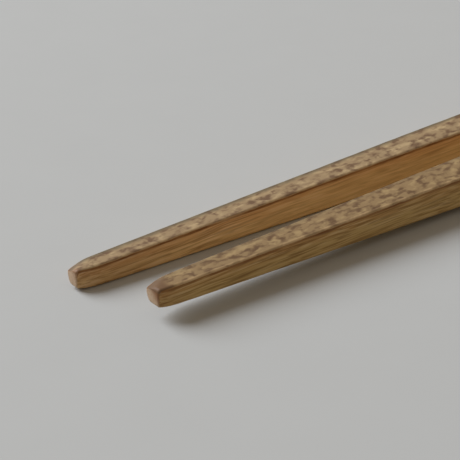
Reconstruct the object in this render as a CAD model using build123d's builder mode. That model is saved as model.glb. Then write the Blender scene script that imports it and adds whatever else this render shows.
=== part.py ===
from build123d import *
from math import asin, cos, sin
import os

os.makedirs("parts", exist_ok=True)

# A pair of square bamboo chopsticks, lying side by side with their skin faces up. All sizes are in
# millimetres. Along a stick, distances run from its tip towards its handle end.

# Both sticks
STICK_LENGTH = 235.0        # tip to handle end
SHOULDER_SIDE = 7.1         # side of the square where the taper runs out
HANDLE_END_SIDE = 7.5       # side of the square at the handle end
STEM_RADIUS = 35.0          # the skin face keeps the round of the bamboo stem
EASED_EDGE = 0.55           # radius of every edge, taken down by sanding
SHOULDER_EASE = 32.0        # each way from a shoulder, how far its bend is spread
NOSE_LENGTH = 6.0           # the tip is whittled a little narrower over this length
NOSE_BEND = 2.2             # where the whittled curve turns most
RISE_LENGTH = 4.0           # the underside of the tip is whittled up over this length
RISE_BEND = 1.2             # where that curve turns most
TOP_CUT_BACK = 3.0          # the far top corner of the tip is cut off: so far back along the stick,
TOP_CUT_ACROSS = 2.6        # so far across the end
TOP_CUT_DOWN = 1.15         # and so far down the far side
BOTTOM_CUT_BACK = 4.0       # and its far bottom corner in the same way
BOTTOM_CUT_ACROSS = 1.3
BOTTOM_CUT_UP = 2.2

# The blank that a stick is cut from
SPARE_THICKNESS = 1.5       # how far the blank is thicker than the handle end
SPARE_LENGTH = 5.0          # how far the stem runs on past both ends of the stick

# The far stick lies flat on the surface from tip to handle end
FAR_TIP_WIDTH = 3.3
FAR_TIP_THICKNESS = 3.5
FAR_SIDE_SHOULDER_AT = 116.0
FAR_SKIN_SHOULDER_AT = 90.0
FAR_NOSE_PINCH = 0.45       # taken off the near side at the very tip
FAR_NOSE_RISE = 0.5         # taken off the underside at the very tip

# The near stick rests on its handle half, with its tip clear of the surface
NEAR_TIP_WIDTH = 3.65
NEAR_TIP_THICKNESS = 3.35
NEAR_TIP_LIFT = 1.9         # underside of the tip above the surface
NEAR_SIDE_SHOULDER_AT = 82.0
NEAR_SKIN_SHOULDER_AT = 87.0
NEAR_SOLE_SHOULDER_AT = 114.0
NEAR_SOLE_EASE = 14.0       # spread of the bend where the stick starts to touch the surface
NEAR_NOSE_PINCH = 0.2
NEAR_NOSE_RISE = 0.4

# How the two sticks lie
TIP_GAP = 10.5              # clear space between the two tips, across the sticks
HANDLE_GAP = 2.3            # clear space between the two handle ends
NEAR_SETBACK = 4.5          # the near tip lies this much further back than the far one

blank_thickness = HANDLE_END_SIDE + SPARE_THICKNESS

# The centre lines close up from the tips to the handle ends, each stick by half of the angle
tip_spacing = TIP_GAP + (FAR_TIP_WIDTH + NEAR_TIP_WIDTH) / 2
handle_spacing = HANDLE_GAP + HANDLE_END_SIDE
half_toe_in = asin((tip_spacing - handle_spacing) / STICK_LENGTH) / 2


def under_stick(tip_x, tip_y, turn):
    """The surface under a stick, from below its tip: X along the stick, Y across it."""
    return Plane(origin=(tip_x, tip_y, 0), x_dir=(cos(turn), sin(turn), 0), z_dir=(0, 0, 1))


def from_side(ground):
    """The upright plane through a stick's centre line: X along the stick, Y up."""
    return Plane(origin=ground.origin, x_dir=ground.x_dir, z_dir=-ground.y_dir)


def across(line, ground):
    """The plane across the start of a line that runs along a stick, with its Y up."""
    return Plane(origin=line @ 0, x_dir=ground.y_dir, z_dir=line % 0)


def on_line(start, end, distance):
    """The point of the line through start and end that lies this far from the tip."""
    slope = (end[1] - start[1]) / (end[0] - start[0])
    return (distance, start[1] + slope * (distance - start[0]))


def shouldered_edge(start, shoulder, end, ease):
    """A straight run, a bend eased round the shoulder, and a straight run to the end."""
    before = on_line(start, shoulder, shoulder[0] - ease)
    after = on_line(shoulder, end, shoulder[0] + ease)
    Line(start, before)
    Bezier(before, shoulder, after)
    Line(after, end)


def whittled_edge(tip, shoulder, end, ease, taken_off, bend, run):
    """A shouldered edge that starts off its line by taken_off and joins it at the end of the run."""
    first = (tip[0], tip[1] + taken_off)
    straight_from = on_line(tip, shoulder, run)
    Bezier(first, on_line(tip, shoulder, bend), straight_from)
    shouldered_edge(straight_from, shoulder, end, ease)
    return first


def plan_outline(tip_width, shoulder_at, pinch):
    """Both sides and the two cut ends, seen from above."""
    far_tip, near_tip = (0, tip_width / 2), (0, -tip_width / 2)
    far_end, near_end = (STICK_LENGTH, HANDLE_END_SIDE / 2), (STICK_LENGTH, -HANDLE_END_SIDE / 2)
    shouldered_edge(far_tip, (shoulder_at, SHOULDER_SIDE / 2), far_end, SHOULDER_EASE)
    near_corner = whittled_edge(near_tip, (shoulder_at, -SHOULDER_SIDE / 2), near_end,
                                SHOULDER_EASE, pinch, NOSE_BEND, NOSE_LENGTH)
    Line(far_tip, near_corner)
    Line(far_end, near_end)


def sole_outline(lift, rest_from, ease, rise):
    """The stick seen from the side, from its sole up to the top of the blank."""
    sole_end = (STICK_LENGTH, 0)
    sole_start = whittled_edge((0, lift), (rest_from, 0), sole_end, ease, rise, RISE_BEND, RISE_LENGTH)
    Polyline(sole_end, (STICK_LENGTH, blank_thickness), (0, blank_thickness), sole_start)


def skin_line(tip_top, shoulder_at):
    """The middle of the skin face, seen from the side and run on past both ends."""
    shoulder = (shoulder_at, SHOULDER_SIDE)
    before_tip = on_line((0, tip_top), shoulder, -SPARE_LENGTH)
    past_handle = on_line(shoulder, (STICK_LENGTH, HANDLE_END_SIDE), STICK_LENGTH + SPARE_LENGTH)
    shouldered_edge(before_tip, shoulder, past_handle, SHOULDER_EASE)


def corner_cut(ground, corner, back, across, upright):
    """The plane that takes a far corner off a tip, by how far it cuts each way. It faces off the stick."""
    facing = ground.x_dir * (-1 / back) + ground.y_dir * (1 / across) + ground.z_dir * (-1 / upright)
    return Plane(origin=ground.from_local_coords((corner[0] + back, corner[1], corner[2])), z_dir=facing)


def cut_tip_corners(ground, tip_width, tip_bottom, tip_top):
    """Takes the two far corners off the tip of the stick that is being built."""
    top_corner, bottom_corner = (0, tip_width / 2, tip_top), (0, tip_width / 2, tip_bottom)
    split(bisect_by=corner_cut(ground, top_corner, TOP_CUT_BACK, TOP_CUT_ACROSS, -TOP_CUT_DOWN), keep=Keep.BOTTOM)
    split(bisect_by=corner_cut(ground, bottom_corner, BOTTOM_CUT_BACK, BOTTOM_CUT_ACROSS, BOTTOM_CUT_UP),
          keep=Keep.BOTTOM)


far_ground = under_stick(0, tip_spacing / 2, -half_toe_in)
near_ground = under_stick(NEAR_SETBACK, -tip_spacing / 2, half_toe_in)

with BuildPart() as far_chopstick:
    # The planed sides, cut square to the surface
    with BuildSketch(far_ground):
        with BuildLine():
            plan_outline(FAR_TIP_WIDTH, FAR_SIDE_SHOULDER_AT, FAR_NOSE_PINCH)
        make_face()
    extrude(amount=blank_thickness)
    # Its sole is flat up to the whittled tip
    with BuildSketch(from_side(far_ground)):
        with BuildLine():
            sole_outline(0, STICK_LENGTH / 2, SHOULDER_EASE, FAR_NOSE_RISE)
        make_face()
    extrude(amount=HANDLE_END_SIDE, both=True, mode=Mode.INTERSECT)
    # The round stem under the skin line is all that stays
    with BuildLine(from_side(far_ground)) as far_skin:
        skin_line(FAR_TIP_THICKNESS, FAR_SKIN_SHOULDER_AT)
    with BuildSketch(across(far_skin.line, far_ground)):
        with Locations((0, -STEM_RADIUS)):
            Circle(STEM_RADIUS)
    sweep(path=far_skin.line, mode=Mode.INTERSECT)
    fillet(far_chopstick.edges(), EASED_EDGE)
    cut_tip_corners(far_ground, FAR_TIP_WIDTH, 0, FAR_TIP_THICKNESS)

with BuildPart() as near_chopstick:
    with BuildSketch(near_ground):
        with BuildLine():
            plan_outline(NEAR_TIP_WIDTH, NEAR_SIDE_SHOULDER_AT, NEAR_NOSE_PINCH)
        make_face()
    extrude(amount=blank_thickness)
    # Its sole comes down from the whittled tip to where the stick starts to rest
    with BuildSketch(from_side(near_ground)):
        with BuildLine():
            sole_outline(NEAR_TIP_LIFT, NEAR_SOLE_SHOULDER_AT, NEAR_SOLE_EASE, NEAR_NOSE_RISE)
        make_face()
    extrude(amount=HANDLE_END_SIDE, both=True, mode=Mode.INTERSECT)
    with BuildLine(from_side(near_ground)) as near_skin:
        skin_line(NEAR_TIP_LIFT + NEAR_TIP_THICKNESS, NEAR_SKIN_SHOULDER_AT)
    with BuildSketch(across(near_skin.line, near_ground)):
        with Locations((0, -STEM_RADIUS)):
            Circle(STEM_RADIUS)
    sweep(path=near_skin.line, mode=Mode.INTERSECT)
    fillet(near_chopstick.edges(), EASED_EDGE)
    cut_tip_corners(near_ground, NEAR_TIP_WIDTH, NEAR_TIP_LIFT, NEAR_TIP_LIFT + NEAR_TIP_THICKNESS)

# The origin is on the surface, at the middle of the space that the pair takes up
pair_middle = Compound([far_chopstick.part, near_chopstick.part]).bounding_box().center()
to_origin = Location((-pair_middle.X, -pair_middle.Y, 0))
far_chopstick.part.move(to_origin)
near_chopstick.part.move(to_origin)

far_chopstick.part.label = "far_chopstick"
export_step(far_chopstick.part, "parts/far_chopstick.step")

near_chopstick.part.label = "near_chopstick"
export_step(near_chopstick.part, "parts/near_chopstick.step")
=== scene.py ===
import math

import bpy
import numpy as np
from bpy.props import FloatProperty, FloatVectorProperty, PointerProperty
from bpy.types import Operator, Panel, PropertyGroup
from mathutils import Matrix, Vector


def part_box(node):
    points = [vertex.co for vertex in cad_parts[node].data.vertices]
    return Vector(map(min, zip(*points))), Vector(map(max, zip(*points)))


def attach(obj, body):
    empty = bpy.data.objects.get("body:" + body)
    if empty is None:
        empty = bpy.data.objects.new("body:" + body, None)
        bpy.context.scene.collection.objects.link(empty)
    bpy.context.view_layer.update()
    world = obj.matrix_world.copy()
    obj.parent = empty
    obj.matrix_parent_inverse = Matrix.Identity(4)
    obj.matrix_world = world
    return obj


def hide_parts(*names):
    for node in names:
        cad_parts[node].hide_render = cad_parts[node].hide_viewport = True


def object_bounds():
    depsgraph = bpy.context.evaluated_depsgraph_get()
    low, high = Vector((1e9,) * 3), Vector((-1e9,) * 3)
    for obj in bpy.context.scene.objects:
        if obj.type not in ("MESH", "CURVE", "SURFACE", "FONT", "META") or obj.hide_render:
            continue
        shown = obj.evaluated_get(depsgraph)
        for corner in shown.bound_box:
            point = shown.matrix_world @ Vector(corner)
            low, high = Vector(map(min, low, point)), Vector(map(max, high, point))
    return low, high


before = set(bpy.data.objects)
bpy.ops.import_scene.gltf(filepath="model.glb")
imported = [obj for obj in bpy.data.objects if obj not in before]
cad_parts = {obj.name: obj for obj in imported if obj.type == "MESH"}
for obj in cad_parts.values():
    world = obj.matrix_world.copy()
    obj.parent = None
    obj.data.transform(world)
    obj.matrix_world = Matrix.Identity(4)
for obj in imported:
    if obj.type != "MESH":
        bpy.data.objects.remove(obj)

CAD_BOX = [list(corner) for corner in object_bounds()]

bl_info = {
    "name": "Bamboo Chopsticks",
    "version": (1, 0, 0),
    "blender": (4, 5, 0),
    "location": "View3D > Sidebar > Chopsticks",
    "description": "Dresses a pair of planed bamboo chopsticks and sets them on a studio surface",
    "category": "Add Mesh",
}

MM = 0.001
GRAIN = "grain"             # mesh attribute: where a point was in the culm, in millimetres
MARGINS = "margins"         # mesh attribute: millimetres from the far side, the near side and the tip
CUT_END = "cut_end"         # mesh attribute: 1 where the fibres are cut across
RUBBED = "rubbed"           # mesh attribute: 1 where a corner is cut off
TONE = "tone"               # mesh attribute: 0 on the far stick, 1 on the near one


# Sizes and colours that a user would change

def length(name, description, default):
    return FloatProperty(name=name, description=description, default=default * MM,
                         subtype="DISTANCE", unit="LENGTH")


def share(name, description, default):
    return FloatProperty(name=name, description=description, default=default,
                         min=0.0, max=1.0, subtype="FACTOR")


def angle(name, description, degrees):
    return FloatProperty(name=name, description=description, default=math.radians(degrees),
                         subtype="ANGLE", unit="ROTATION")


def colour(name, description, *default):
    return FloatVectorProperty(name=name, description=description, default=default, size=3,
                               min=0.0, max=1.0, subtype="COLOR_GAMMA")


class PairForm(PropertyGroup):
    """What both sticks share, and how they lie. The lengths are those of the solids."""

    stick_length: length("Length", "From the tip to the handle end", 235)
    shoulder_side: length("Side at the shoulder", "Side of the square where the taper runs out", 7.1)
    handle_side: length("Side at the handle end", "Side of the square at the handle end", 7.5)
    stem_radius: length("Stem radius", "Radius of the bamboo stem, kept by the skin face", 35)
    eased_edge: length("Eased edge", "Radius that every edge is sanded to", 0.55)
    shoulder_ease: length("Shoulder ease", "Spread of the bend each way from a shoulder", 32)
    nose_length: length("Nose length", "Length over which a tip is whittled", 6)
    nose_bend: length("Nose bend", "Where the whittled curve turns most", 2.2)
    rise_length: length("Rise length", "Length over which the underside of a tip is whittled up", 4)
    rise_bend: length("Rise bend", "Where that cut turns most", 1.2)
    top_cut_back: length("Top cut back", "The cut far top corner, along the stick", 3)
    top_cut_across: length("Top cut across", "The cut far top corner, across the end", 2.6)
    top_cut_down: length("Top cut down", "The cut far top corner, down the far side", 1.15)
    bottom_cut_back: length("Bottom cut back", "The cut far bottom corner, along the stick", 4)
    bottom_cut_across: length("Bottom cut across", "The cut far bottom corner, across the end", 1.3)
    bottom_cut_up: length("Bottom cut up", "The cut far bottom corner, up the far side", 2.2)
    cut_round: length("Worn round", "How softly the cut corners run into the faces", 0.12)
    tip_gap: length("Gap at the tips", "Clear space between the tips", 10.5)
    handle_gap: length("Gap at the handles", "Clear space between the handle ends", 2.3)
    near_setback: length("Setback", "How far the near tip lies behind the far one", 4.5)


class FarStick(PropertyGroup):
    """The far stick, which lies flat."""

    tip_width: length("Tip width", "Across the tip, before whittling", 3.3)
    tip_thickness: length("Tip thickness", "Up through the tip", 3.5)
    side_shoulder: length("Side shoulder", "Where the taper of the sides runs out", 116)
    skin_shoulder: length("Skin shoulder", "Where the taper of the skin face runs out", 90)
    nose_pinch: length("Nose pinch", "Taken off the near side at the very tip", 0.45)
    tip_lift: length("Tip lift", "Underside of the tip above the surface", 0)
    sole_shoulder: length("Sole shoulder", "Where the stick starts to rest on the surface", 114)
    sole_ease: length("Sole ease", "Spread of the bend there", 14)
    nose_rise: length("Nose rise", "Taken off the underside at the very tip", 0.5)


class NearStick(PropertyGroup):
    """The near stick, which rests on its handle half."""

    tip_width: length("Tip width", "Across the tip, before whittling", 3.65)
    tip_thickness: length("Tip thickness", "Up through the tip", 3.35)
    side_shoulder: length("Side shoulder", "Where the taper of the sides runs out", 82)
    skin_shoulder: length("Skin shoulder", "Where the taper of the skin face runs out", 87)
    nose_pinch: length("Nose pinch", "Taken off the near side at the very tip", 0.2)
    tip_lift: length("Tip lift", "Underside of the tip above the surface", 1.9)
    sole_shoulder: length("Sole shoulder", "Where the stick starts to rest on the surface", 114)
    sole_ease: length("Sole ease", "Spread of the bend there", 14)
    nose_rise: length("Nose rise", "Taken off the underside at the very tip", 0.4)


class WorkedSurface(PropertyGroup):
    """What planing, sanding and wear leave on the clean shape."""

    sanded_off: length("Sanded off", "Taken off the clean shape all round", 0.018)
    plane_wave: length("Plane wave", "Depth of the long waves that the plane leaves", 0.022)
    plane_wave_length: length("Plane wave length", "Length of those waves", 17)
    fibre_relief: length("Fibre relief", "Depth of the grooves between the fibres", 0.014)
    fibre_pitch: length("Fibre pitch", "Distance across from one groove to the next", 0.38)
    skin_relief: length("Skin relief", "Depth of the dimples in the skin", 0.012)
    edge_wear: length("Edge wear", "Depth of the nicks along the edges", 0.05)
    end_relief: length("End relief", "Unevenness of the cut ends", 0.05)


class BambooColours(PropertyGroup):
    """The layers of the culm wall, from the skin inwards, and their marks."""

    skin: colour("Skin", "Plain skin", 0.63, 0.53, 0.39)
    skin_cream: colour("Pale skin", "Cream patches in the skin", 0.74, 0.64, 0.475)
    skin_mottle: colour("Skin mottle", "Brown marks in the skin", 0.45, 0.345, 0.245)
    skin_margin: colour("Skin margin", "Dark far margin of the skin", 0.35, 0.32, 0.24)
    skin_nose: colour("Skin at the tip", "Darkened skin at the near tip", 0.44, 0.325, 0.215)
    rubbed: colour("Rubbed corner", "Tip where its corners are cut off", 0.56, 0.42, 0.30)
    # Pale worn skin, also painted on the rounded near edges as light where their rounding turns away from the
    # lamp
    skin_worn: colour("Worn skin", "Pale line where the skin is worn at an edge", 0.85, 0.72, 0.54)
    under_skin: colour("Under the skin", "Dark dense layer just below the skin", 0.47, 0.29, 0.11)
    outer_wood: colour("Outer wood", "Red-brown wood near the skin", 0.82, 0.625, 0.40)
    inner_wood: colour("Inner wood", "Paler wood further in", 0.865, 0.715, 0.485)
    pale_fibre: colour("Pale streak", "Pale streaks along the wood", 0.925, 0.79, 0.60)
    fibre: colour("Fibre", "Dark fibre bundles", 0.58, 0.42, 0.225)
    near_wood: colour("Near stick's wood", "The near stick's wood is toned by this", 0.87, 0.87, 0.80)
    near_skin: colour("Near stick's skin", "The near stick's skin is toned by this", 0.92, 0.90, 0.85)
    end_brown: colour("Brown of a cut end", "Cut end near the skin and the near side", 0.49, 0.335, 0.205)
    end_pale: colour("Pale cut end", "Cut end further in", 0.81, 0.715, 0.60)


class StudioSettings(PropertyGroup):
    """The surface, the light and the camera."""

    floor: colour("Surface", "Colour of the surface that the sticks lie on", 0.735, 0.738, 0.722)
    floor_size: length("Surface size", "Width of the surface", 6000)
    key_power: FloatProperty(name="Key light", description="Power of the soft window light", default=77,
                             subtype="POWER", unit="POWER")
    key_colour: colour("Key colour", "Colour of the window light", 0.936, 0.957, 1.0)
    key_size: length("Key size", "Width of the soft window light", 1900)
    key_distance: length("Key distance", "Distance from the tips to the window light", 2400)
    key_azimuth: angle("Key azimuth", "Where the light stands, turned from +X", 115.5)
    key_elevation: angle("Key elevation", "Height of the light above the surface", 40)
    fill: share("Fill light", "Strength of the even light from all round", 0.29)
    fill_colour: colour("Fill colour", "Colour of the even light", 1.0, 0.936, 0.858)
    lens: FloatProperty(name="Lens", description="Focal length in millimetres", default=125.2)
    view_azimuth: angle("View azimuth", "Turn of the camera round the sticks", -37.142)
    view_elevation: angle("View elevation", "Height of the camera above the surface", 27.419)
    view_distance: length("View distance", "Distance from the camera to the point it looks at", 250)
    look_behind_tips: length("Look behind tips", "How far behind the tips the camera looks", 29.62)
    look_across: length("Look across", "How far beyond the middle line the camera looks", 8.21)


# The clean shape of a stick, from the lengths of its solid

CURVE_STEPS = 48            # points along each piece of a wall


def on_line(start, end, distance):
    """The point of the line through start and end that lies this far from the tip."""
    slope = (end[1] - start[1]) / (end[0] - start[0])
    return (distance, start[1] + slope * (distance - start[0]))


def curve(start, turn, end):
    """Points from start towards end, bent towards turn. The last one is left to the next piece."""
    t = np.linspace(0, 1, CURVE_STEPS, endpoint=False)[:, None]
    return (1 - t) ** 2 * np.array(start) + 2 * t * (1 - t) * np.array(turn) + t ** 2 * np.array(end)


def straight(start, end):
    return curve(start, ((start[0] + end[0]) / 2, (start[1] + end[1]) / 2), end)


class Wall:
    """One of the four long faces, as its middle line and the way it faces. Heights count outwards."""

    def __init__(self, tip, shoulder, end, ease, taken_off, bend, run, edge):
        joins = on_line(tip, shoulder, run)
        before = on_line(tip, shoulder, shoulder[0] - ease)
        after = on_line(shoulder, end, shoulder[0] + ease)
        pieces = [curve((tip[0], tip[1] - taken_off), on_line(tip, shoulder, bend), joins),
                  straight(joins, before), curve(before, shoulder, after), straight(after, end), [end]]
        s, height = np.concatenate(pieces).T
        slope = np.gradient(height, s)
        size = np.hypot(1, slope)
        self.lean_at, self.out_at = -slope / size, 1 / size
        self.s = s - edge * self.lean_at
        self.inner_at = height - edge * self.out_at

    def at(self, s):
        """Height of the wall less its rounding, and the two parts of the way it faces."""
        return [np.interp(s, self.s, row)[:, None] for row in (self.inner_at, self.lean_at, self.out_at)]


def stick_walls(pair, stick):
    """The far side, the near side, the skin face and the sole."""
    length, edge = pair.stick_length, pair.eased_edge
    half_tip, half_shoulder, half_handle = stick.tip_width / 2, pair.shoulder_side / 2, pair.handle_side / 2
    side = ((0, half_tip), (stick.side_shoulder, half_shoulder), (length, half_handle), pair.shoulder_ease)
    far = Wall(*side, 0, pair.nose_bend, pair.nose_length, edge)
    near = Wall(*side, stick.nose_pinch, pair.nose_bend, pair.nose_length, edge)
    skin = Wall((0, stick.tip_lift + stick.tip_thickness), (stick.skin_shoulder, pair.shoulder_side),
                (length, pair.handle_side), pair.shoulder_ease, 0, pair.nose_bend, pair.nose_length, edge)
    sole = Wall((0, -stick.tip_lift), (stick.sole_shoulder, 0), (length, 0), stick.sole_ease,
                stick.nose_rise, pair.rise_bend, pair.rise_length, edge)
    return far, near, skin, sole


# The mesh of a stick

SIDE_POINTS = 46            # mesh points across each face
CORNER_STEPS = 7            # mesh steps round each long edge
RIM_STEPS = 6               # mesh steps round the edge of an end
RIM_STOP = math.radians(84)     # how far the edge of an end turns before the end itself begins
END_RINGS = 9               # rings of faces on a cut end
FINE_UP_TO = (8, 80)        # the nose and the front of a stick have the closer rings, in millimetres
RING_STEPS = (0.2, 0.45, 1.3)   # from ring to ring in the nose, in the front and behind it
NOISE_CELLS = 512           # random values each way, before they repeat

# Marks of work and wear. Each kind has random values of its own, by what it adds to a stick's seed.
WAVES, RIPPLES, GROOVES, FINE_GROOVES, DIMPLES, NICKS, HOLLOWS = 0, 4, 10, 11, 12, 13, 14
RIPPLES_TO_A_WAVE = 4
RIPPLE_SHARE = 0.2
GROOVE_LENGTH = 60          # in fibre pitches
FINE_GROOVE_LENGTH = 30
FINE_GROOVES_TO_A_PITCH = 2
GROOVE_SHARE, FINE_GROOVE_SHARE = 0.35, 0.15    # of their depth, on top of a half taken off everywhere
DIMPLE_SIZE = (1.6, 0.8)    # along and across, in millimetres
NICK_LENGTH = 2.4           # in millimetres
NICKED_ABOVE = 0.3          # an edge is nicked where its random value is above this
EDGES_APART = 9.5           # random values between one edge and the next
HOLLOW_SIZE = 0.7           # in millimetres
HOLLOW_START = 40           # keeps the hollows clear of the first random values
ROUNDING = 0.01             # keeps the first point of an edge with that edge
CUT_FROM, CUT_FULLY = 0.6, 0.9      # how far a surface faces along the stick before it is a cut end
GRAIN_SHIFT = (1.7, 0.9, 0)     # moves the grain of each stick by its seed, so that no two are alike


def value_noise(seed, u, v):
    """Smooth random values from -1 to 1 at the points (u, v), with one cell to a unit."""
    lattice = np.random.default_rng(seed).uniform(-1.0, 1.0, (NOISE_CELLS, NOISE_CELLS))
    u, v = np.broadcast_arrays(u, v)
    cell_u, cell_v = np.floor(u).astype(int), np.floor(v).astype(int)
    part_u, part_v = u - cell_u, v - cell_v
    ease_u = part_u * part_u * (3 - 2 * part_u)
    ease_v = part_v * part_v * (3 - 2 * part_v)
    low = (1 - ease_u) * lattice[cell_u % NOISE_CELLS, cell_v % NOISE_CELLS]
    low = low + ease_u * lattice[(cell_u + 1) % NOISE_CELLS, cell_v % NOISE_CELLS]
    high = (1 - ease_u) * lattice[cell_u % NOISE_CELLS, (cell_v + 1) % NOISE_CELLS]
    high = high + ease_u * lattice[(cell_u + 1) % NOISE_CELLS, (cell_v + 1) % NOISE_CELLS]
    return (1 - ease_v) * low + ease_v * high


def round_section():
    """Once round a section: the place of each point as (across, up), and which way it faces."""
    corners = [(1, 0), (1, 1), (0, 1), (0, 0)]
    points = []
    for turn, corner in enumerate(corners):
        facing = (turn - 1) * math.pi / 2
        for step in range(CORNER_STEPS + 1):
            points.append((*corner, facing + math.pi / 2 * step / CORNER_STEPS))
        after = corners[(turn + 1) % 4]
        for k in range(1, SIDE_POINTS + 1):
            part = k / (SIDE_POINTS + 1)
            points.append((corner[0] + (after[0] - corner[0]) * part,
                           corner[1] + (after[1] - corner[1]) * part, facing + math.pi / 2))
    return np.array(points).T


def ring_places(pair):
    """Where the rings lie along the stick, how far each has turned to an end, and its share of full size."""
    stops = [pair.eased_edge, FINE_UP_TO[0] * MM, FINE_UP_TO[1] * MM, pair.stick_length - pair.eased_edge]
    shaft = []
    for start, end, step in zip(stops, stops[1:], RING_STEPS):
        shaft.append(np.linspace(start, end, round((end - start) / (step * MM)), endpoint=False))
    shaft = np.concatenate([*shaft, stops[-1:]])
    on_end = np.linspace(0, 1, END_RINGS, endpoint=False)[1:]
    rim = np.concatenate([np.full(len(on_end), RIM_STOP), np.linspace(RIM_STOP, 0, RIM_STEPS, endpoint=False)])
    at = np.concatenate([np.full(len(rim), shaft[0]), shaft, np.full(len(rim), shaft[-1])])
    turned = np.concatenate([-rim, np.zeros(len(shaft)), rim[::-1]])
    size = np.concatenate([on_end, np.ones(len(shaft) + 2 * RIM_STEPS), on_end[::-1]])
    return at, turned, size


def unit(vectors):
    return vectors / np.linalg.norm(vectors, axis=-1, keepdims=True)


class StickBody:
    """The points of one stick, ring by ring, with X along it and Z up."""

    def __init__(self, pair, stick):
        at, turned, size = ring_places(pair)
        across, up, facing = round_section()
        walls = [wall.at(at) for wall in stick_walls(pair, stick)]
        far, near, skin, sole = walls
        edge = pair.eased_edge
        inner_stem = pair.stem_radius - edge
        y = -near[0] + across * (near[0] + far[0])
        inner_skin = skin[0] - inner_stem + np.sqrt(inner_stem ** 2 - y ** 2)
        z = -sole[0] + up * (inner_skin + sole[0])
        self.facing = facing + np.zeros_like(y)
        turned, self.size = turned[:, None, None], size[:, None]

        # The rings turn round the edge of an end and are then drawn in to its middle
        along = np.array((1.0, 0, 0))
        normal = unit(np.cos(turned) * self.shaft_normal(walls, y, inner_stem) + np.sin(turned) * along)
        full = np.stack([at[:, None] + np.zeros_like(y), y, z], -1) + edge * normal
        middle = full.mean(1, keepdims=True)
        self.points = middle + (full - middle) * self.size[..., None]
        self.normal = np.where(self.size[..., None] < 1, np.sign(turned) * along, normal)

        # Where each point was in the culm, before the corners are cut
        y, z = self.points[..., 1], self.points[..., 2]
        skin_line = skin[0] + edge * skin[2]
        self.depth = skin_line - pair.stem_radius + np.sqrt(pair.stem_radius ** 2 - y ** 2) - z
        self.from_far = far[0] + edge - y
        self.from_near = y + near[0] + edge

        self.rubbed = np.zeros_like(y)
        far_corner, top = stick.tip_width / 2, stick.tip_lift + stick.tip_thickness
        self.cut_corner((0, far_corner, top), pair.top_cut_back, pair.top_cut_across, -pair.top_cut_down,
                        pair.cut_round)
        self.cut_corner((0, far_corner, stick.tip_lift), pair.bottom_cut_back, pair.bottom_cut_across,
                        pair.bottom_cut_up, pair.cut_round)

    def shaft_normal(self, walls, y, inner_stem):
        """The way each point of the shaft faces, from the walls that meet there and the round of the stem."""
        far_share, skin_share = np.cos(self.facing), np.sin(self.facing)
        shares = (far_share, -far_share, skin_share, -skin_share)
        ways = ((1, 0), (-1, 0), (0, 1), (0, -1))
        normal = np.zeros((*y.shape, 3))
        for (_, lean, out), wall_share, (way_y, way_z) in zip(walls, shares, ways):
            facing = np.concatenate([lean, out * way_y, out * way_z], -1)
            normal += np.maximum(wall_share, 0)[..., None] * facing[:, None]
        normal[..., 1] += np.maximum(skin_share, 0) * y / inner_stem
        return unit(normal)

    def cut_corner(self, corner, back, across, upright, worn):
        """Takes off a corner, by how far the cut reaches each way, and leaves it worn round."""
        facing = np.array((-1 / back, 1 / across, -1 / upright))
        size = np.linalg.norm(facing)
        beyond = ((self.points - np.array(corner)) @ facing + 1) / size
        taken = worn * np.logaddexp(0, beyond / worn)
        self.points = self.points - taken[..., None] * facing / size
        fully_rubbed = 4 * worn
        self.rubbed = np.maximum(self.rubbed, np.clip(taken / fully_rubbed, 0, 1))
        on_cut = np.clip(beyond / (2 * worn) + 0.5, 0, 1)[..., None]
        self.normal = unit(self.normal * (1 - on_cut) + facing / size * on_cut)


def worked_off(form, body, seed):
    """How far each point lies inside the clean shape: plane waves, grooves, dimples, nicks and hollow ends."""
    s, y, z = np.moveaxis(body.points, -1, 0)
    facing = body.facing
    middle_row = np.full_like(s, 0.5)
    inward = np.full(s.shape, form.sanded_off + form.plane_wave / 2)
    ripple_length = form.plane_wave_length / RIPPLES_TO_A_WAVE
    for face in range(4):
        share_of_face = np.clip(np.cos(facing - face * math.pi / 2), 0, None) ** 2
        wave = value_noise(seed + WAVES + face, s / form.plane_wave_length, middle_row)
        ripple = value_noise(seed + RIPPLES + face, s / ripple_length, middle_row)
        inward += share_of_face * form.plane_wave / 2 * ((1 - RIPPLE_SHARE) * wave + RIPPLE_SHARE * ripple)
    skin_share = np.clip(np.sin(facing), 0, None) ** 2
    pitch = form.fibre_pitch
    groove_at = body.depth * np.abs(np.cos(facing)) + y * np.abs(np.sin(facing))
    grooves = value_noise(seed + GROOVES, s / (GROOVE_LENGTH * pitch), groove_at / pitch)
    fine = value_noise(seed + FINE_GROOVES, s / (FINE_GROOVE_LENGTH * pitch),
                       groove_at / (pitch / FINE_GROOVES_TO_A_PITCH))
    inward += (1 - skin_share) * form.fibre_relief * (0.5 + GROOVE_SHARE * grooves + FINE_GROOVE_SHARE * fine)
    dimples = value_noise(seed + DIMPLES, s / (DIMPLE_SIZE[0] * MM), y / (DIMPLE_SIZE[1] * MM))
    inward += skin_share * form.skin_relief / 2 * (1 + dimples)
    on_edge = np.sin(2 * facing) ** 2
    which_edge = np.floor(facing / (math.pi / 2) + ROUNDING)
    nicks = value_noise(seed + NICKS, s / (NICK_LENGTH * MM), which_edge * EDGES_APART)
    inward += on_edge * form.edge_wear * np.clip(nicks - NICKED_ABOVE, 0, None)
    hollow = value_noise(seed + HOLLOWS, y / (HOLLOW_SIZE * MM) + HOLLOW_START,
                         z / (HOLLOW_SIZE * MM) + HOLLOW_START)
    return inward * body.size + form.end_relief * (1 - body.size ** 4) * (0.5 + 0.5 * hollow)


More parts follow.
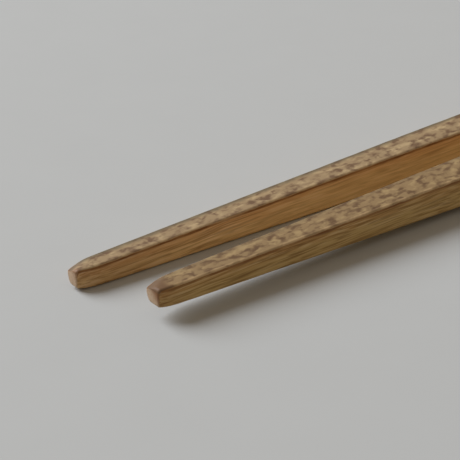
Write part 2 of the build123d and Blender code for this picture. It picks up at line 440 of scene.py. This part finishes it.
def stick_mesh(name, body, form, ground, tone, seed):
    """One stick as a fine mesh, closed by its two cut ends."""
    worked = body.points - worked_off(form, body, seed)[..., None] * body.normal
    rings, count = worked.shape[:2]
    local = worked.reshape(-1, 3)
    tip, along, across = ground
    points = tip + local[:, :1] * along + local[:, 1:2] * across + local[:, 2:] * np.array((0, 0, 1))
    points[:, 2] = np.maximum(points[:, 2], 0)
    faces = []
    for ring in range(rings - 1):
        for k in range(count):
            k_next = (k + 1) % count
            faces.append((ring * count + k, (ring + 1) * count + k,
                          (ring + 1) * count + k_next, ring * count + k_next))
    faces.append(tuple(range(count)))
    faces.append(tuple(reversed(range((rings - 1) * count, rings * count))))
    mesh = bpy.data.meshes.new(name)
    mesh.from_pydata(points.tolist(), [], faces)
    mesh.polygons.foreach_set("use_smooth", [True] * len(mesh.polygons))

    from_tip, y = body.points[..., 0], body.points[..., 1]
    grain = np.stack([from_tip, y, body.depth], -1) / MM + seed * np.array(GRAIN_SHIFT)
    margins = np.stack([body.from_far, body.from_near, from_tip], -1) / MM
    for attribute, values in ((GRAIN, grain), (MARGINS, margins)):
        mesh.attributes.new(attribute, "FLOAT_VECTOR", "POINT").data.foreach_set("vector", values.ravel())
    cut_end = np.clip((np.abs(body.normal[..., 0]) - CUT_FROM) / (CUT_FULLY - CUT_FROM), 0, 1)
    for attribute, values in ((CUT_END, cut_end), (RUBBED, body.rubbed), (TONE, np.full_like(y, tone))):
        mesh.attributes.new(attribute, "FLOAT", "POINT").data.foreach_set("value", values.ravel())
    mesh.validate()
    return mesh


def grounds(pair, far, near):
    """For each stick: the place below its tip, the way it lies and the way across it."""
    tip_spacing = pair.tip_gap + (far.tip_width + near.tip_width) / 2
    handle_spacing = pair.handle_gap + pair.handle_side
    half_toe_in = math.asin((tip_spacing - handle_spacing) / pair.stick_length) / 2
    tips = ((0, tip_spacing / 2, -half_toe_in), (pair.near_setback, -tip_spacing / 2, half_toe_in))
    places = []
    for tip_x, tip_y, turn in tips:
        along = np.array((math.cos(turn), math.sin(turn), 0))
        across = np.array((-math.sin(turn), math.cos(turn), 0))
        places.append((np.array((tip_x, tip_y, 0.0)), along, across))
    return places


def centred(places, bodies):
    """The same places with the middle of the pair on the origin, as the solids have it."""
    spots = []
    for (tip, along, across), body in zip(places, bodies):
        flat = body.points.reshape(-1, 3)
        spots.append(tip + flat[:, :1] * along + flat[:, 1:2] * across)
    spots = np.concatenate(spots)
    middle = (spots.min(0) + spots.max(0)) / 2
    middle[2] = 0
    return [(tip - middle, along, across) for tip, along, across in places]


# Materials

# Patterns of noise: cells to a millimetre along the stick, across it and down from the skin, then detail
# and roughness
FIBRE_BENDS = ((0.05, 0.25, 0.25), 2.0, 0.5)
BROAD_TONES = ((0.03, 0.7, 0.7), 2.0, 0.5)
STREAKS = ((0.08, 2.3, 2.3), 3.0, 0.6)
FIBRE_LINES = ((0.12, 3.8, 3.8), 2.0, 0.6)
RAGGED_EDGES = ((0.5, 2.0, 2.0), 3.0, 0.5)
LAYER_STRENGTHS = ((0.15, 0.0, 0.0), 2.0, 0.5)
SKIN_SWAYS = ((0.5, 0.9, 0.0), 2.0, 0.5)
SKIN_MARKS = ((0.52, 0.80, 0.0), 2.0, 0.5)
SKIN_PATCHES = ((0.36, 0.70, 0.0), 3.0, 0.5)
SKIN_SPECKS = ((1.6, 3.2, 0.0), 2.0, 0.6)
SURFACE_CLOUDS = ((90, 90, 90), 3.0, 0.6)       # to a metre
BUNDLE_CELLS = (0.02, 2.6, 2.6)

# Marks: each comes in from one value of its pattern to another, up to the share given last
PALE_STREAK = (0.52, 0.68, 0.7)
DARK_STREAK = (0.50, 0.30, 0.6)
DARK_LINE = (0.52, 0.36, 0.5)
PALE_LINE = (0.54, 0.68, 0.5)
CREAM_PATCH = (0.46, 0.66, 0.8)
BROWN_MARK = (0.42, 0.68, 1.0)
# Patches of the pale near rim, which is partly worn skin and partly painted light
WORN_AND_PAINTED_LIGHT_PATCH = (0.40, 0.58, 0.65)
BUNDLE_DOT = (0.42, 0.22, 0.3)

# The same by the distance from the tip, in millimetres
PLAINER_WOOD = (18.0, 42.0, 0.6)
PLAIN_HANDLE_END = (40.0, 80.0, 1.0)
WORN_SKIN_END = (0.9, 0.3, 0.8)
DARK_NOSE = (3.4, 1.4, 0.95)
FAINTER_LAYER = (10.0, 7.0, 0.3)
LAYER_OVER_END = (0.5, 0.15, 0.4)
WORN_AND_PAINTED_LIGHT_RIM_BEGINS = (2.0, 5.0, 1.0)
# Where the pale near rim begins; the rim is partly worn skin and partly painted light
WORN_LINE_BEGINS = (0.6, 4.0, 1.0)

# By the distance from the near side or the far one
# The pale near rim: partly worn skin, partly painted light that keeps the rounded edge as bright as the lit top
WORN_AND_PAINTED_LIGHT_RIM = (0.60, 0.32, 1.0)
WORN_LINE = (1.4, 0.9, 1.0)
FAR_MARGIN = (1.6, 0.5, 1.0)

# By the depth below the skin
PALER_WOOD = (0.6, 2.6, 1.0)
PALER_END = (0.0, 2.6, 1.0)
DARK_LAYER = (0.66, 0.44, 1.0)
WORN_LAYER = (0.28, 0.19, 0.5)
SKIN_LAYER = (0.20, 0.12, 1.0)

NOT_ON_ENDS = (0.6, 0.1, 1.0)       # by how far a surface is a cut end

STREAKS_AT_TIP = 1.2        # how strongly all streaks show at the tips
ROUGHNESS = 0.58
SPECK_HEIGHT = 0.4          # relief of the specks in the skin, to that of the fibre lines
RELIEF = 0.02 * MM          # height of the finest relief, which is drawn by the material alone


class NodeGraph:
    """A few words for wiring shader nodes."""

    def __init__(self, name):
        self.material = bpy.data.materials.new(name)
        self.material.use_nodes = True
        self.tree = self.material.node_tree
        self.tree.nodes.clear()

    def put(self, socket, value):
        if isinstance(value, bpy.types.NodeSocket):
            self.tree.links.new(value, socket)
        else:
            socket.default_value = value

    def node(self, kind, settings=None, **inputs):
        node = self.tree.nodes.new("ShaderNode" + kind)
        for key, value in (settings or {}).items():
            setattr(node, key, value)
        for key, value in inputs.items():
            self.put(node.inputs[key.replace("_", " ")], value)
        return node

    def math(self, operation, *values):
        node = self.node("Math", {"operation": operation})
        for socket, value in zip(node.inputs, values):
            self.put(socket, value)
        return node.outputs[0]

    def add(self, a, b):
        return self.math("ADD", a, b)

    def times(self, a, b):
        return self.math("MULTIPLY", a, b)

    def by_stick(self, tone, far, near):
        """One value on the far stick and another on the near one."""
        return self.add(self.times(tone, near - far), far)

    def number(self, name):
        """An attribute as a number."""
        return self.node("Attribute", {"attribute_name": name}).outputs["Fac"]

    def vector(self, operation, a, b):
        node = self.node("VectorMath", {"operation": operation})
        self.put(node.inputs[0], a)
        self.put(node.inputs[1], b)
        return node.outputs[0]

    def stretch(self, vector, *scale):
        return self.vector("MULTIPLY", vector, scale)

    def split(self, name):
        """An attribute as a vector and as its three parts."""
        vector = self.node("Attribute", {"attribute_name": name}).outputs["Vector"]
        parts = self.node("SeparateXYZ", Vector=vector).outputs
        return vector, parts[0], parts[1], parts[2]

    def noise(self, vector, pattern):
        """A value from 0 to 1, in one of the patterns above."""
        cells, detail, roughness = pattern
        node = self.node("TexNoise", {"noise_dimensions": "3D"}, Vector=self.stretch(vector, *cells),
                         Scale=1.0, Detail=detail, Roughness=roughness)
        return node.outputs["Fac"]

    def spread(self, value, reach):
        """A noise value moved to lie evenly about 0, this far each way."""
        return self.node("MapRange", {"clamp": False}, Value=value, From_Min=0.0, From_Max=1.0,
                         To_Min=-reach, To_Max=reach).outputs["Result"]

    def step(self, value, low, high, top):
        """0 up to low and top from high on, eased between. Where high is the lower one, the other way round."""
        node = self.node("MapRange", {"interpolation_type": "SMOOTHSTEP"}, Value=value,
                         From_Min=low, From_Max=high, To_Max=top)
        return node.outputs["Result"]

    def mix(self, share_of_b, a, b, blend="MIX"):
        node = self.node("Mix", {"data_type": "RGBA", "blend_type": blend})
        self.put(node.inputs[0], share_of_b)
        self.put(node.inputs[6], a)
        self.put(node.inputs[7], b)
        return node.outputs[2]

    def finish(self, shader):
        out = self.node("OutputMaterial")
        self.put(out.inputs["Surface"], shader.outputs["BSDF"])
        return self.material


def linear(srgb):
    """A colour as a shader takes it."""
    return [c / 12.92 if c <= 0.04045 else ((c + 0.055) / 1.055) ** 2.4 for c in srgb] + [1.0]


def wood_colour(g, tint, place, depth, from_tip, tone):
    """Planed wood: red-brown near the skin and paler further in, streaked along the fibres."""
    bend = g.spread(g.noise(place, FIBRE_BENDS), reach=0.6)
    bent = g.vector("ADD", place, g.node("CombineXYZ", X=0.0, Y=bend, Z=bend).outputs["Vector"])
    streak, line = g.noise(bent, STREAKS), g.noise(bent, FIBRE_LINES)
    wood_depth = g.add(depth, g.spread(g.noise(bent, BROAD_TONES), reach=1.6))
    wood = g.mix(g.step(wood_depth, *PALER_WOOD), tint["outer_wood"], tint["inner_wood"])

    # The streaks are at their strongest at the tips. Only the far stick grows plainer behind its tip.
    plainer = g.times(g.by_stick(tone, far=1.0, near=0.0), g.step(from_tip, *PLAINER_WOOD))
    streaky = g.math("SUBTRACT", STREAKS_AT_TIP, plainer)
    for pattern, mark, name in ((streak, PALE_STREAK, "pale_fibre"), (streak, DARK_STREAK, "fibre"),
                                (line, DARK_LINE, "fibre"), (line, PALE_LINE, "pale_fibre")):
        wood = g.mix(g.times(g.step(pattern, *mark), streaky), wood, tint[name])
    return wood, line


def skin_colour(g, tint, place, margins, rubbed, tone):
    """The speckled skin: brown marks and cream patches, drawn out along the stick."""
    far_margin, near_margin, from_tip = margins
    sway = g.spread(g.noise(place, SKIN_SWAYS), reach=0.6)
    swayed = g.vector("ADD", place, g.node("CombineXYZ", X=sway, Y=sway, Z=0.0).outputs["Vector"])
    blotch, patch = g.noise(swayed, SKIN_MARKS), g.noise(swayed, SKIN_PATCHES)
    speck = g.noise(place, SKIN_SPECKS)
    skin = g.mix(g.step(patch, *CREAM_PATCH), tint["skin"], tint["skin_cream"])
    mark = g.add(blotch, g.spread(speck, reach=0.05))
    skin = g.mix(g.step(mark, *BROWN_MARK), skin, tint["skin_mottle"])
    skin = g.mix(tone, skin, g.mix(1.0, skin, tint["near_skin"], "MULTIPLY"))

    # Both tips are rubbed at their ends and cut corners, and the near one is dark on top
    rubbed_skin = g.math("MAXIMUM", g.times(rubbed, 0.5), g.step(from_tip, *WORN_SKIN_END))
    skin = g.mix(rubbed_skin, skin, tint["rubbed"])
    skin = g.mix(g.times(tone, g.step(from_tip, *DARK_NOSE)), skin, tint["skin_nose"])

    # The near edge is worn pale here and there, and that pale is also painted on as light where the rounding of
    # the near edge turns away from the lamp; the far margin is dark
    rim = g.times(g.by_stick(tone, far=0.15, near=0.65), g.step(near_margin, *WORN_AND_PAINTED_LIGHT_RIM))
    rim = g.times(rim, g.add(0.35, g.step(patch, *WORN_AND_PAINTED_LIGHT_PATCH)))
    skin = g.mix(g.times(rim, g.step(from_tip, *WORN_AND_PAINTED_LIGHT_RIM_BEGINS)), skin, tint["skin_worn"])
    margin = g.add(far_margin, g.spread(blotch, reach=0.8))
    dark_margin = g.times(g.step(margin, *FAR_MARGIN), g.by_stick(tone, far=0.7, near=0.2))
    skin = g.mix(dark_margin, skin, tint["skin_margin"])
    return skin, speck


def end_colour(g, tint, place, depth, near_margin, from_tip, tone):
    """Cut ends: brown towards the skin and the near side, pale beyond, with the bundles seen as dots."""
    bundles = g.node("TexVoronoi", {"voronoi_dimensions": "3D", "feature": "F1"},
                     Vector=g.stretch(place, *BUNDLE_CELLS), Scale=1.0).outputs["Distance"]
    inwards = g.add(g.times(near_margin, 0.9), g.add(depth, g.by_stick(tone, far=0.0, near=-1.2)))
    pale = g.math("MAXIMUM", g.step(inwards, *PALER_END), g.step(from_tip, *PLAIN_HANDLE_END))
    end = g.mix(pale, tint["end_brown"], tint["end_pale"])
    return g.mix(g.step(bundles, *BUNDLE_DOT), end, tint["fibre"])


def bamboo_material(colours):
    """Skin, dense outer wood and paler inner wood by depth in the culm wall, with fibres along the stick."""
    g = NodeGraph("bamboo")
    tint = {name: linear(getattr(colours, name)) for name in colours.__annotations__}
    place, _, _, depth = g.split(GRAIN)
    _, far_margin, near_margin, from_tip = g.split(MARGINS)
    cut_end, rubbed, tone = g.number(CUT_END), g.number(RUBBED), g.number(TONE)
    wood, line = wood_colour(g, tint, place, depth, from_tip, tone)
    wood = g.mix(tone, wood, g.mix(1.0, wood, tint["near_wood"], "MULTIPLY"))
    wood = g.mix(g.times(rubbed, 0.85), wood, tint["rubbed"])
    wood = g.mix(cut_end, wood, end_colour(g, tint, place, depth, near_margin, from_tip, tone))

    # Wood that is held or eaten from is darker, up to so many millimetres behind the tip
    handled = g.step(from_tip, g.by_stick(tone, far=24.0, near=8.0), 0.0, 0.33)
    wood = g.mix(handled, wood, tint["under_skin"])

    # The dark layer under the skin, and the pale line where the skin is worn through
    ragged = g.spread(g.noise(place, RAGGED_EDGES), reach=0.13)
    layer = g.add(g.add(depth, ragged), g.by_stick(tone, far=0.0, near=-0.07))
    layer = g.math("SUBTRACT", layer, g.step(from_tip, *LAYER_OVER_END))
    fainter = g.times(tone, g.add(0.1, g.step(from_tip, *FAINTER_LAYER)))
    strength = g.add(g.spread(g.noise(place, LAYER_STRENGTHS), reach=0.8), g.math("SUBTRACT", 0.8, fainter))
    dark = g.times(g.times(g.step(layer, *DARK_LAYER), g.step(cut_end, *NOT_ON_ENDS)), strength)
    wood = g.mix(dark, wood, tint["under_skin"])
    worn = g.times(g.times(g.step(layer, *WORN_LAYER), g.step(near_margin, *WORN_LINE)),
                   g.step(from_tip, *WORN_LINE_BEGINS))
    wood = g.mix(worn, wood, tint["skin_worn"])

    skin, speck = skin_colour(g, tint, place, (far_margin, near_margin, from_tip), rubbed, tone)
    bamboo = g.mix(g.step(layer, *SKIN_LAYER), wood, skin)
    roughness = g.add(ROUGHNESS, g.spread(line, reach=0.1))
    height = g.add(line, g.times(speck, SPECK_HEIGHT))
    bump = g.node("Bump", Height=height, Strength=0.35, Distance=RELIEF)
    return g.finish(g.node("BsdfPrincipled", Base_Color=bamboo, Roughness=roughness,
                           Specular_IOR_Level=0.3, Normal=bump.outputs["Normal"]))


def surface_material(stage):
    """Pale matt card with a barely visible mottle."""
    g = NodeGraph("matt_surface")
    cloud = g.noise(g.node("TexCoord").outputs["Object"], SURFACE_CLOUDS)
    plain = linear(stage.floor)
    tinted = [part * 0.97 for part in plain[:3]] + [1.0]
    return g.finish(g.node("BsdfPrincipled", Base_Color=g.mix(cloud, plain, tinted), Roughness=0.9,
                           Specular_IOR_Level=0.2))


# Operators

BOX_TOLERANCE = 0.15 * MM   # how far a worked stick may stay inside the box of its solid
SURFACE_DROP = 0.02 * MM    # the surface lies this far below the sticks, so that no two faces meet
NEAREST_SEEN = 10 * MM      # the camera sees nothing nearer than this


class CHOPSTICKS_OT_make_sticks(Operator):
    """Make both chopsticks on the shapes of their solids, in planed bamboo"""

    bl_idname = "chopsticks.make_sticks"
    bl_label = "Make Chopsticks"

    def execute(self, context):
        scene = context.scene
        bamboo = bamboo_material(scene.bamboo_colours)
        forms = (scene.far_stick, scene.near_stick)
        bodies = [StickBody(scene.pair_form, stick) for stick in forms]
        places = centred(grounds(scene.pair_form, *forms), bodies)
        for number, node in enumerate(("far_chopstick", "near_chopstick")):
            mesh = stick_mesh("worked_" + node, bodies[number], scene.worked_surface, places[number],
                              tone=float(number), seed=100 * (number + 1))
            mesh.materials.append(bamboo)
            stick = bpy.data.objects.new("worked_" + node, mesh)
            scene.collection.objects.link(stick)
            self.check_fit(stick, node)
            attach(stick, "root")
            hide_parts(node)
        return {"FINISHED"}

    def check_fit(self, stick, node):
        """The worked stick fills the box of its solid."""
        low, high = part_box(node)
        points = np.array([vertex.co for vertex in stick.data.vertices])
        apart = np.abs([points.min(0) - np.array(low), points.max(0) - np.array(high)]).max()
        if apart > BOX_TOLERANCE:
            raise RuntimeError(f"{stick.name} is {apart / MM:.2f} mm off the box of {node}")


class CHOPSTICKS_OT_set_stage(Operator):
    """Lay the pale surface, set the soft light and place the camera"""

    bl_idname = "chopsticks.set_stage"
    bl_label = "Set Stage"

    def execute(self, context):
        stage = context.scene.studio_settings
        self.lay_surface(context, stage)
        look_at = Vector((CAD_BOX[0][0] + stage.look_behind_tips, stage.look_across, 0))
        self.light(context, stage, look_at)
        self.place_camera(context, stage, look_at)
        context.scene.view_settings.view_transform = "Standard"
        return {"FINISHED"}

    def lay_surface(self, context, stage):
        half = stage.floor_size / 2
        mesh = bpy.data.meshes.new("surface")
        corners = [(x, y, -SURFACE_DROP)
                   for x, y in ((-half, -half), (half, -half), (half, half), (-half, half))]
        mesh.from_pydata(corners, [], [(0, 1, 2, 3)])
        surface = bpy.data.objects.new("surface", mesh)
        context.scene.collection.objects.link(surface)
        mesh.materials.append(surface_material(stage))

    def light(self, context, stage, look_at):
        data = bpy.data.lights.new("window", "AREA")
        data.shape = "DISK"
        data.size = stage.key_size
        data.energy = stage.key_power
        data.color = linear(stage.key_colour)[:3]
        window = bpy.data.objects.new("window", data)
        context.scene.collection.objects.link(window)
        turn, rise = stage.key_azimuth, stage.key_elevation
        direction = Vector((math.cos(turn) * math.cos(rise), math.sin(turn) * math.cos(rise), math.sin(rise)))
        window.location = look_at + direction * stage.key_distance
        window.rotation_euler = direction.to_track_quat("Z", "Y").to_euler()
        context.scene.world = self.even_light(stage)

    def even_light(self, stage):
        """A world that lights from all round and is seen in the colour of the surface."""
        world = bpy.data.worlds.new("even_light")
        world.use_nodes = True
        tree = world.node_tree
        even = tree.nodes["Background"]
        even.inputs["Color"].default_value = linear(stage.fill_colour)
        even.inputs["Strength"].default_value = stage.fill
        pale = tree.nodes.new("ShaderNodeBackground")
        pale.inputs["Color"].default_value = linear(stage.floor)
        seen = tree.nodes.new("ShaderNodeLightPath")
        both = tree.nodes.new("ShaderNodeMixShader")
        for output, into in ((seen.outputs["Is Camera Ray"], both.inputs[0]), (even.outputs[0], both.inputs[1]),
                             (pale.outputs[0], both.inputs[2]),
                             (both.outputs[0], tree.nodes["World Output"].inputs["Surface"])):
            tree.links.new(output, into)
        return world

    def place_camera(self, context, stage, look_at):
        data = bpy.data.cameras.new("camera")
        data.lens = stage.lens
        data.clip_start = NEAREST_SEEN
        camera = bpy.data.objects.new("camera", data)
        context.scene.collection.objects.link(camera)
        turn, rise = stage.view_azimuth, stage.view_elevation
        back = Vector((math.sin(turn) * math.cos(rise), -math.cos(turn) * math.cos(rise), math.sin(rise)))
        camera.location = look_at + back * stage.view_distance
        camera.rotation_euler = back.to_track_quat("Z", "Y").to_euler()
        context.scene.camera = camera


class CHOPSTICKS_PT_panel(Panel):
    """The pieces of the scene, in the order in which they are made"""

    bl_label = "Chopsticks"
    bl_space_type = "VIEW_3D"
    bl_region_type = "UI"
    bl_category = "Chopsticks"

    def draw(self, context):
        scene = context.scene
        for title, settings in (("Pair", scene.pair_form), ("Far stick", scene.far_stick),
                                ("Near stick", scene.near_stick), ("Worked surface", scene.worked_surface),
                                ("Bamboo", scene.bamboo_colours)):
            self.draw_settings(title, settings)
        self.layout.operator(CHOPSTICKS_OT_make_sticks.bl_idname)
        self.draw_settings("Stage", scene.studio_settings)
        self.layout.operator(CHOPSTICKS_OT_set_stage.bl_idname)

    def draw_settings(self, title, settings):
        box = self.layout.box()
        box.label(text=title)
        for name in settings.__annotations__:
            box.prop(settings, name)


SETTINGS = {
    "pair_form": PairForm,
    "far_stick": FarStick,
    "near_stick": NearStick,
    "worked_surface": WorkedSurface,
    "bamboo_colours": BambooColours,
    "studio_settings": StudioSettings,
}
CLASSES = (*SETTINGS.values(), CHOPSTICKS_OT_make_sticks, CHOPSTICKS_OT_set_stage, CHOPSTICKS_PT_panel)


def register():
    for cls in CLASSES:
        bpy.utils.register_class(cls)
    for name, group in SETTINGS.items():
        setattr(bpy.types.Scene, name, PointerProperty(type=group))


def unregister():
    for name in SETTINGS:
        delattr(bpy.types.Scene, name)
    for cls in reversed(CLASSES):
        bpy.utils.unregister_class(cls)


def main():
    register()
    bpy.ops.chopsticks.make_sticks()
    bpy.ops.chopsticks.set_stage()


if __name__ == "__main__":
    main()
